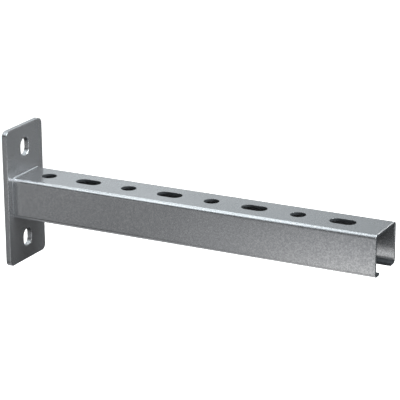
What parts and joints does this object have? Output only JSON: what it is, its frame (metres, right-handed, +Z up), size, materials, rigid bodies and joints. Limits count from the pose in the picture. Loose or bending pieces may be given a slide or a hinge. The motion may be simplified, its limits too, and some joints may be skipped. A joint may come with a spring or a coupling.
{
  "type": "cantilever wall bracket",
  "caption": "Cantilever wall bracket: an open-bottomed slotted steel channel arm welded square onto an upright oblong wall plate with an anchor slot above and below the arm.",
  "frame": {"origin": "centre of the wall plate's back face, which lies flat on the wall", "axes": "+X out of the wall along the arm, +Z up, +Y across the plate; the arm's open side faces -Z"},
  "size_m": [0.3, 0.05, 0.107],
  "materials": {
    "wall_plate": "satin zinc-coated steel plate, 4 mm, fine grain",
    "channel_arm": "satin zinc-coated strip, 2 mm, fine grain",
    "weld_bead": "zinc-coated fillet weld with fine ripples"
  },
  "bodies": {
    "root": {"wall_plate": "wall_plate", "channel_arm": "channel_arm", "weld_bead": "weld_bead"}
  },
  "joints": []
}
